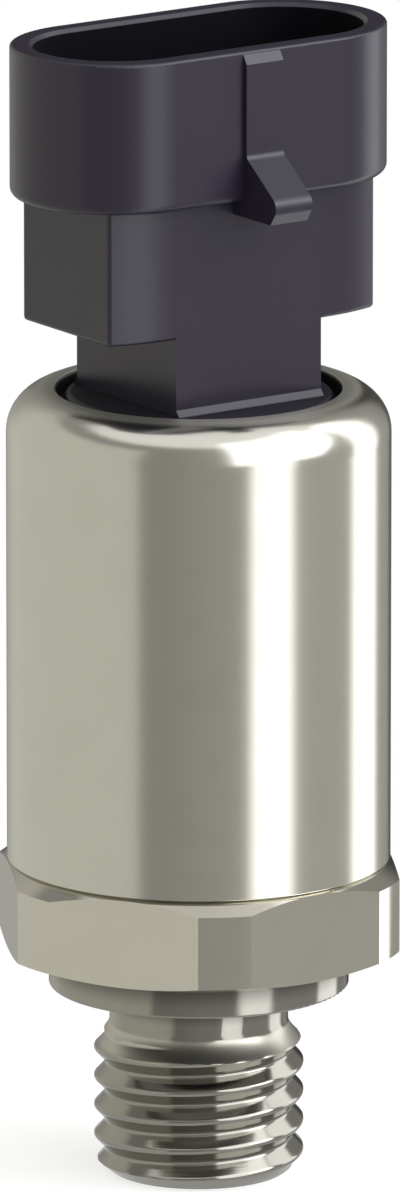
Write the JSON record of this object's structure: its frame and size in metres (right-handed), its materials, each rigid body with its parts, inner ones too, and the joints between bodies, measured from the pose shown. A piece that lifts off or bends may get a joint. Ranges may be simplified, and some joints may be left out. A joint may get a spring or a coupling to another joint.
{
  "type": "pressure transmitter",
  "caption": "Pressure transmitter: threaded stud with collar and hexagon, round steel casing with a rolled shoulder, and an oval black plug socket with a latch ramp.",
  "frame": {"origin": "on the thread's axis, in the plane of the collar's sealing face", "axes": "+Z along the thread's axis towards the plug socket; +X along the socket's long side; -Y is the side with the latch ramp"},
  "size_m": [0.026, 0.0244, 0.0728],
  "materials": {
    "steel": "satin turned and drawn stainless steel",
    "black_plastic": "satin black moulded plastic",
    "seal_rubber": "matt black elastomer",
    "ceramic": "white sintered alumina",
    "seal_glass": "fired glass frit",
    "sleeve_plastic": "pale glass-filled plastic",
    "board": "green solder mask on glass epoxy",
    "chip": "matt black moulding compound",
    "chip_ceramic": "brown chip ceramic with tinned ends",
    "solder": "bright solder",
    "plated_wire": "tinned wire",
    "contact": "tinned copper alloy strip"
  },
  "bodies": {
    "root": {"pressure_port": "steel", "profile_ring": "seal_rubber", "casing": "steel", "casing_o_ring": "seal_rubber", "sensor_o_ring": "seal_rubber", "cell_diaphragm": "ceramic", "cell_glass_ring": "seal_glass", "cell_body": "ceramic", "cell_lead_1": "plated_wire", "cell_lead_2": "plated_wire", "cell_lead_3": "plated_wire", "cell_lead_4": "plated_wire", "support_sleeve": "sleeve_plastic", "circuit_board": "board", "signal_chip": "chip", "surge_diode": "chip", "capacitor_1": "chip_ceramic", "capacitor_2": "chip_ceramic", "capacitor_3": "chip_ceramic", "capacitor_4": "chip_ceramic", "resistor_1": "chip", "resistor_2": "chip", "resistor_3": "chip", "resistor_4": "chip", "solder_joints": "solder", "terminal_1": "contact", "terminal_2": "contact", "terminal_3": "contact", "flange_o_ring": "seal_rubber", "connector_housing": "black_plastic"}
  },
  "joints": []
}
